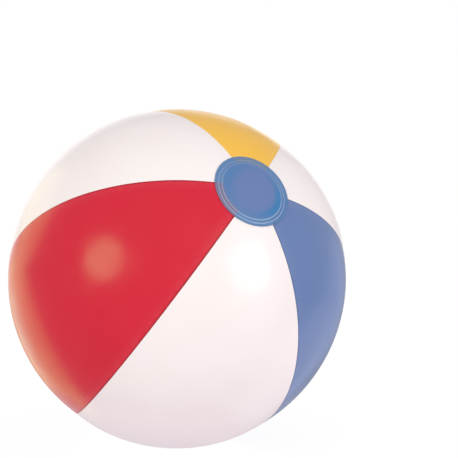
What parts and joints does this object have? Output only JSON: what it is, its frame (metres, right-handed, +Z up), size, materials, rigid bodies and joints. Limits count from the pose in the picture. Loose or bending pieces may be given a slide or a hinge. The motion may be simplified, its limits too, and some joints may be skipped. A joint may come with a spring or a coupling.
{
  "type": "inflatable beach ball",
  "caption": "Inflated vinyl beach ball of coloured and white film gores, round end caps and a push-in air valve with a strapped plug and check flap.",
  "frame": {"origin": "the point where the ball touches the surface it lies on, straight below the ball's centre", "axes": "+Z up, away from that surface, with the floor at Z = 0; the plain cap leans 59 degrees from +Z towards -Y and +X, and the valve is opposite it, low at the back"},
  "size_m": [0.45, 0.45, 0.45],
  "materials": {
    "film_red": "glossy printed vinyl film",
    "film_white": "glossy milky vinyl film",
    "film_blue": "glossy printed vinyl film",
    "film_yellow": "glossy printed vinyl film",
    "film_cap_blue": "glossy translucent vinyl film",
    "valve_vinyl": "soft milky clear moulded vinyl"
  },
  "bodies": {
    "ball": {"panel_red": "film_red", "panel_white_front": "film_white", "panel_blue": "film_blue", "panel_white_side": "film_white", "panel_yellow": "film_yellow", "panel_white_top": "film_white", "plain_cap": "film_cap_blue", "valve_cap": "film_cap_blue", "valve_flange": "valve_vinyl", "valve_collar": "valve_vinyl"},
    "stem": {"valve_stem": "valve_vinyl", "strap_stem_half": "valve_vinyl"},
    "plug": {"valve_plug": "valve_vinyl", "strap_plug_half": "valve_vinyl"},
    "flap": {"check_flap": "valve_vinyl"}
  },
  "joints": [
    {"name": "stem_pull", "type": "slide", "parent": "ball", "child": "stem", "axis": [-0.3865, 0.7651, -0.515], "range_m": [0, 0.016], "deforming": ["valve_collar"]},
    {"name": "plug_swing", "type": "hinge", "parent": "stem", "child": "plug", "pos_m": [-0.08554, 0.16935, 0.10283], "axis": [-0.8926, -0.4509, 0], "range_deg": [0, 140]},
    {"name": "flap_swing", "type": "hinge", "parent": "stem", "child": "flap", "pos_m": [-0.07995, 0.15827, 0.11344], "axis": [0.8926, 0.4509, 0], "range_deg": [0, 60], "stiffness_Nm_per_rad": 0.0002, "springref_deg": -5.73}
  ]
}
